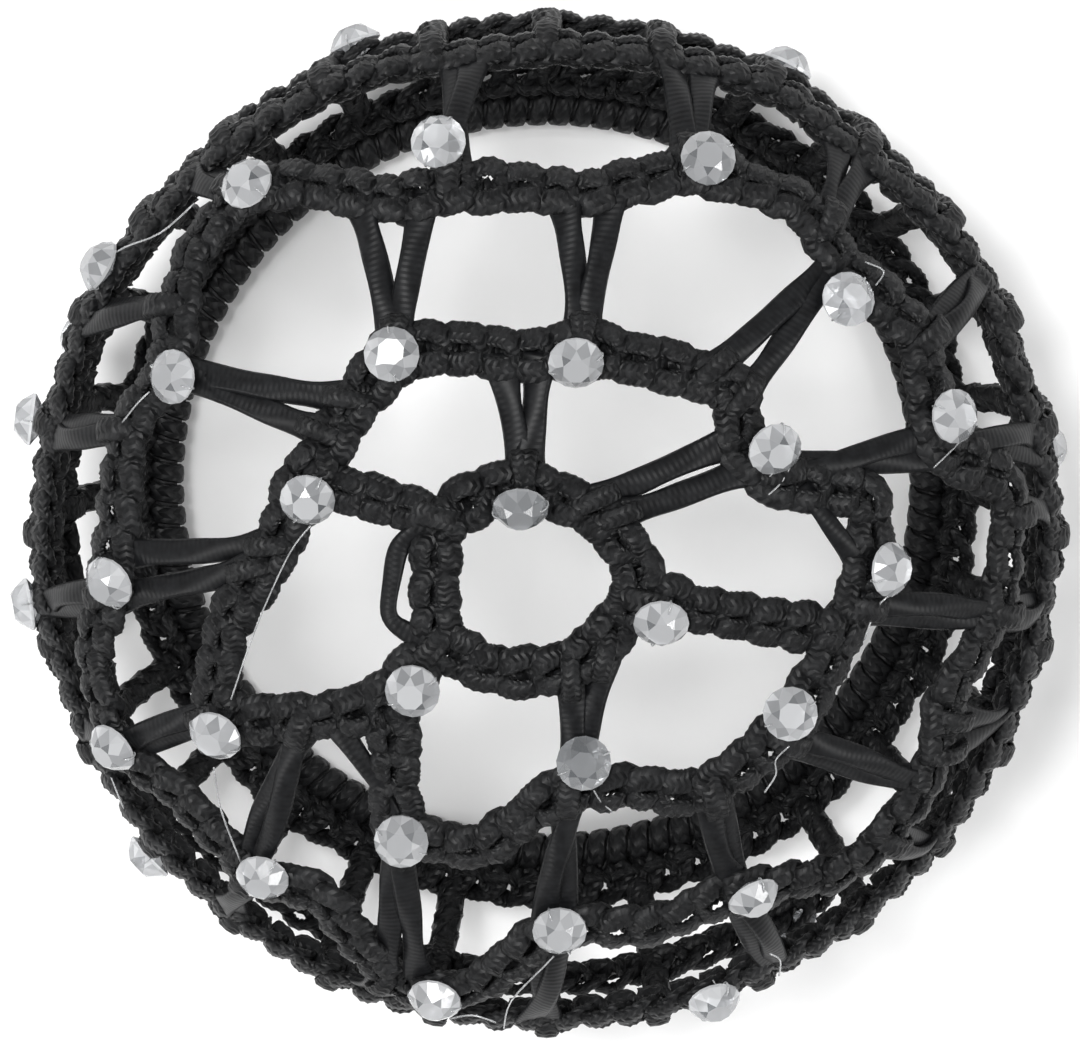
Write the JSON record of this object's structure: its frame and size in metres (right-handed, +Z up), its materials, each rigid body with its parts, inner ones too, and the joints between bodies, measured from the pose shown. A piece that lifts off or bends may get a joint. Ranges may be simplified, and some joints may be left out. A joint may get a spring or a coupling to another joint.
{
  "type": "bun cage",
  "caption": "Open dome of black crocheted tape that closes over a hair bun, with an elastic rim and clear cut stones sewn on its bands.",
  "frame": {"origin": "middle of the rim, in the plane of the elastic's middle line, where the bun goes in", "axes": "+Z up through the top of the dome; +Y the side that leans away from the viewer in the picture; +X to the viewer's right"},
  "size_m": [0.1039, 0.0996, 0.0544],
  "materials": {
    "tape": "flat knitted black tape yarn with fine ribs and a slight sheen, crocheted in chains",
    "elastic": "round black braided elastic cord",
    "cut_stone": "clear faceted crystal with grey and white reflections"
  },
  "bodies": {
    "root": {"centre_ring": "tape", "round_1": "tape", "round_2": "tape", "round_3": "tape", "round_4": "tape", "edge_round": "tape", "elastic_band": "elastic", "stone_01": "cut_stone", "stone_02": "cut_stone", "stone_03": "cut_stone", "stone_04": "cut_stone", "stone_05": "cut_stone", "stone_06": "cut_stone", "stone_07": "cut_stone", "stone_08": "cut_stone", "stone_09": "cut_stone", "stone_10": "cut_stone", "stone_11": "cut_stone", "stone_12": "cut_stone", "stone_13": "cut_stone", "stone_14": "cut_stone", "stone_15": "cut_stone", "stone_16": "cut_stone", "stone_17": "cut_stone", "stone_18": "cut_stone", "stone_19": "cut_stone", "stone_20": "cut_stone", "stone_21": "cut_stone", "stone_22": "cut_stone", "stone_23": "cut_stone", "stone_24": "cut_stone", "stone_25": "cut_stone", "stone_26": "cut_stone", "stone_27": "cut_stone", "stone_28": "cut_stone", "stone_29": "cut_stone", "stone_30": "cut_stone", "stone_31": "cut_stone", "stone_32": "cut_stone", "stone_33": "cut_stone", "stone_34": "cut_stone", "stone_35": "cut_stone", "stone_36": "cut_stone"}
  },
  "joints": []
}
